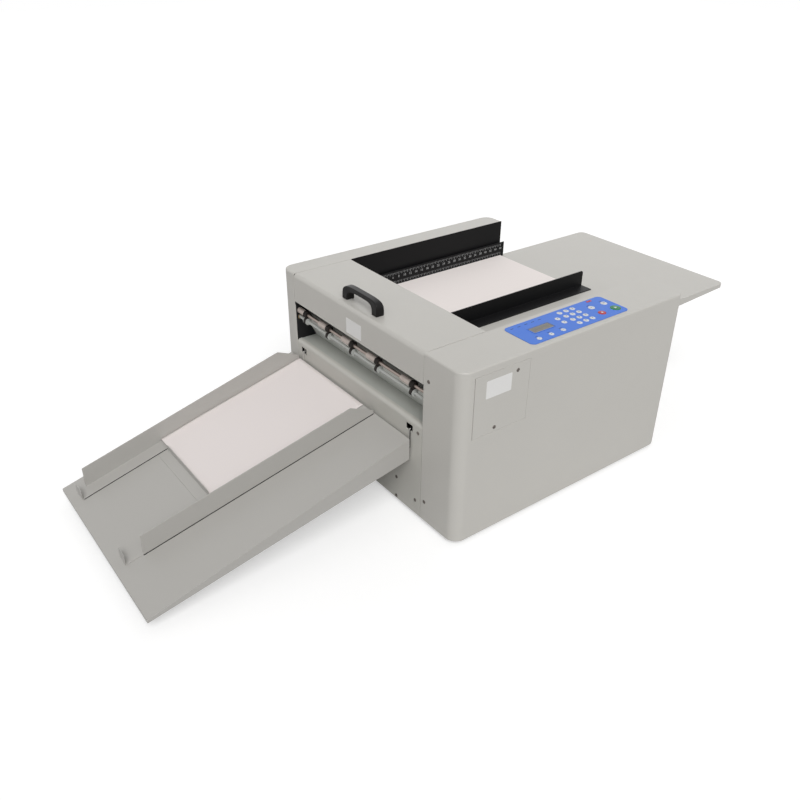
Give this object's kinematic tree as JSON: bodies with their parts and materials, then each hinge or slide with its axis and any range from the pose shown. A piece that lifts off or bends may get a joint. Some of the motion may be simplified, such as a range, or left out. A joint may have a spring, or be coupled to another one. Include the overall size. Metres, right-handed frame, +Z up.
{
  "type": "sheet creasing machine",
  "caption": "Desk-top sheet creasing machine with a recessed suction feed table, hinged lid over the tools, button panel and a sloping delivery tray with side guides.",
  "frame": {"origin": "middle of the footprint of the whole machine, on the floor under the feet", "axes": "+X from the delivery tray to the feed table, -Y towards the operator's side, +Z up"},
  "size_m": [1.723, 0.7174, 0.478],
  "materials": {
    "cover_paint": "satin",
    "lid_paint": "satin",
    "panel_paint": "satin",
    "tray_paint": "satin",
    "table_paint": "satin",
    "frame_black": "matte",
    "guide_black": "matte",
    "shelf_grey": "satin",
    "bare_steel": "satin",
    "zinc_plate": "satin",
    "roller_alloy": "satin",
    "bush_brass": "satin",
    "foot_rubber": "matte",
    "tyre_rubber": "matte",
    "belt_rubber": "matte",
    "handle_plastic": "matte",
    "inlet_plastic": "matte",
    "housing_plastic": "matte",
    "panel_film": "satin",
    "window_film": "gloss",
    "key_white": "satin",
    "key_red": "satin",
    "key_green": "satin",
    "board_laminate": "satin",
    "motor_black": "matte",
    "paper_white": "matte"
  },
  "bodies": {
    "machine": {"base_pan": "panel_paint", "rubber_feet": "foot_rubber", "operator_side_frame": "frame_black", "far_side_frame": "frame_black", "tie_bars_and_pins": "bare_steel", "shaft_bearings": "bush_brass", "operator_side_cover": "cover_paint", "far_side_cover": "cover_paint", "access_hatch": "cover_paint", "delivery_panel": "panel_paint", "exit_shelf": "shelf_grey", "exit_guide_plate": "zinc_plate", "feed_end_panel": "panel_paint", "feed_table": "table_paint", "table_brackets": "zinc_plate", "wall_liner": "guide_black", "ruler_guide": "guide_black", "feed_sheets": "paper_white", "feed_gate": "zinc_plate", "suction_belts": "belt_rubber", "suction_blower": "housing_plastic", "crease_die_bar": "bare_steel", "drive_belts": "belt_rubber", "drive_motors": "motor_black", "control_panel": "panel_film", "display_window": "window_film", "number_keys": "key_white", "status_lamp": "key_red", "control_board": "board_laminate", "power_supply": "zinc_plate", "power_inlet": "inlet_plastic", "cover_screws": "bare_steel"},
    "lid": {"top_cover": "lid_paint", "cover_handle": "handle_plastic"},
    "front_guide": {"front_guide": "guide_black"},
    "exit_drive": {"exit_drive_shaft": "bare_steel"},
    "exit_nip": {"exit_nip_shaft": "bare_steel", "exit_tyres": "tyre_rubber"},
    "pull_lower": {"pull_roller_lower": "belt_rubber"},
    "pull_upper": {"pull_roller_upper": "roller_alloy"},
    "feed_drive": {"feed_drive_roller": "roller_alloy"},
    "feed_idler": {"feed_idler_roller": "roller_alloy"},
    "cam": {"cam_shaft": "bare_steel"},
    "ram": {"crease_ram": "bare_steel"},
    "feed_pulley": {"feed_motor_pulley": "roller_alloy"},
    "exit_pulley": {"exit_motor_pulley": "roller_alloy"},
    "crease_pulley": {"crease_motor_pulley": "roller_alloy"},
    "mode_key": {"mode_key": "key_white"},
    "select_key": {"select_key": "key_white"},
    "enter_key": {"enter_key": "key_white"},
    "minus_key": {"minus_key": "key_white"},
    "plus_key": {"plus_key": "key_white"},
    "stop_key": {"stop_key": "key_red"},
    "start_key": {"start_key": "key_green"},
    "switch": {"power_switch": "key_red"},
    "tray": {"delivery_tray": "tray_paint", "delivered_sheet": "paper_white"},
    "near_tray_guide": {"near_tray_guide": "tray_paint"},
    "far_tray_guide": {"far_tray_guide": "tray_paint"},
    "paper_stop": {"paper_stop": "tray_paint"}
  },
  "joints": [
    {"name": "lid_hinge", "type": "hinge", "parent": "machine", "child": "lid", "pos_m": [-0.0535, 0.031, 0.434], "axis": [0, 1, 0], "range_deg": [0, 70]},
    {"name": "front_guide_slide", "type": "slide", "parent": "machine", "child": "front_guide", "axis": [0, 1, 0], "range_m": [-0.18, 0]},
    {"name": "feed_drive_spin", "type": "hinge", "parent": "machine", "child": "feed_drive", "pos_m": [-0.0175, 0.031, 0.3205], "axis": [0, 1, 0], "continuous": true},
    {"name": "feed_motor_spin", "type": "hinge", "parent": "machine", "child": "feed_pulley", "pos_m": [-0.0175, 0.031, 0.2], "axis": [0, 1, 0], "continuous": true},
    {"name": "feed_idler_spin", "type": "hinge", "parent": "machine", "child": "feed_idler", "pos_m": [0.1025, 0.031, 0.3205], "axis": [0, 1, 0], "continuous": true},
    {"name": "pull_lower_spin", "type": "hinge", "parent": "machine", "child": "pull_lower", "pos_m": [-0.0855, 0.031, 0.3205], "axis": [0, 1, 0], "continuous": true},
    {"name": "exit_motor_spin", "type": "hinge", "parent": "machine", "child": "exit_pulley", "pos_m": [-0.0855, 0.031, 0.2], "axis": [0, 1, 0], "continuous": true},
    {"name": "pull_upper_spin", "type": "hinge", "parent": "machine", "child": "pull_upper", "pos_m": [-0.0855, 0.031, 0.3432], "axis": [0, 1, 0], "continuous": true},
    {"name": "exit_drive_spin", "type": "hinge", "parent": "machine", "child": "exit_drive", "pos_m": [-0.2045, 0.031, 0.3205], "axis": [0, 1, 0], "continuous": true},
    {"name": "exit_nip_spin", "type": "hinge", "parent": "machine", "child": "exit_nip", "pos_m": [-0.2045, 0.031, 0.3388], "axis": [0, 1, 0], "continuous": true},
    {"name": "ram_slide", "type": "slide", "parent": "machine", "child": "ram", "axis": [0, 0, -1], "range_m": [0, 0.008]},
    {"name": "cam_turn", "type": "hinge", "parent": "machine", "child": "cam", "pos_m": [-0.1225, 0.031, 0.402], "axis": [0, 1, 0], "range_deg": [0, 180]},
    {"name": "crease_motor_turn", "type": "hinge", "parent": "machine", "child": "crease_pulley", "pos_m": [-0.1225, 0.031, 0.11], "axis": [0, 1, 0], "range_deg": [0, 180]},
    {"name": "mode_key_press", "type": "slide", "parent": "machine", "child": "mode_key", "axis": [0, 0, -1], "range_m": [0, 0.0006], "stiffness_N_per_m": 1500, "springref_m": -0.0002},
    {"name": "select_key_press", "type": "slide", "parent": "machine", "child": "select_key", "axis": [0, 0, -1], "range_m": [0, 0.0006], "stiffness_N_per_m": 1500, "springref_m": -0.0002},
    {"name": "enter_key_press", "type": "slide", "parent": "machine", "child": "enter_key", "axis": [0, 0, -1], "range_m": [0, 0.0006], "stiffness_N_per_m": 1500, "springref_m": -0.0002},
    {"name": "minus_key_press", "type": "slide", "parent": "machine", "child": "minus_key", "axis": [0, 0, -1], "range_m": [0, 0.0006], "stiffness_N_per_m": 1500, "springref_m": -0.0002},
    {"name": "plus_key_press", "type": "slide", "parent": "machine", "child": "plus_key", "axis": [0, 0, -1], "range_m": [0, 0.0006], "stiffness_N_per_m": 1500, "springref_m": -0.0002},
    {"name": "stop_key_press", "type": "slide", "parent": "machine", "child": "stop_key", "axis": [0, 0, -1], "range_m": [0, 0.0006], "stiffness_N_per_m": 1500, "springref_m": -0.0002},
    {"name": "start_key_press", "type": "slide", "parent": "machine", "child": "start_key", "axis": [0, 0, -1], "range_m": [0, 0.0006], "stiffness_N_per_m": 1500, "springref_m": -0.0002},
    {"name": "switch_rock", "type": "hinge", "parent": "machine", "child": "switch", "pos_m": [0.492, 0.031, 0.075], "axis": [0, 1, 0], "range_deg": [-18, 0]},
    {"name": "tray_hinge", "type": "hinge", "parent": "machine", "child": "tray", "pos_m": [-0.2165, 0.031, 0.2321], "axis": [0, 1, 0], "range_deg": [0, 30]},
    {"name": "near_tray_guide_slide", "type": "slide", "parent": "tray", "child": "near_tray_guide", "axis": [0, 1, 0], "range_m": [-0.13, 0.005]},
    {"name": "far_tray_guide_slide", "type": "slide", "parent": "tray", "child": "far_tray_guide", "axis": [0, 1, 0], "range_m": [0, 0.04]},
    {"name": "paper_stop_slide", "type": "slide", "parent": "tray", "child": "paper_stop", "axis": [-0.965, 0, -0.2622], "range_m": [0, 0.15]}
  ],
  "couplings": [
    {"joint": "feed_motor_spin", "follows": "feed_drive_spin", "ratio": 1},
    {"joint": "feed_idler_spin", "follows": "feed_drive_spin", "ratio": 1},
    {"joint": "exit_motor_spin", "follows": "pull_lower_spin", "ratio": 1},
    {"joint": "pull_upper_spin", "follows": "pull_lower_spin", "ratio": -1.1961},
    {"joint": "exit_drive_spin", "follows": "pull_lower_spin", "ratio": 1},
    {"joint": "exit_nip_spin", "follows": "pull_lower_spin", "ratio": -0.95652},
    {"joint": "cam_turn", "follows": "ram_slide", "rad_per_m": 392.69},
    {"joint": "crease_motor_turn", "follows": "ram_slide", "rad_per_m": 392.69}
  ]
}
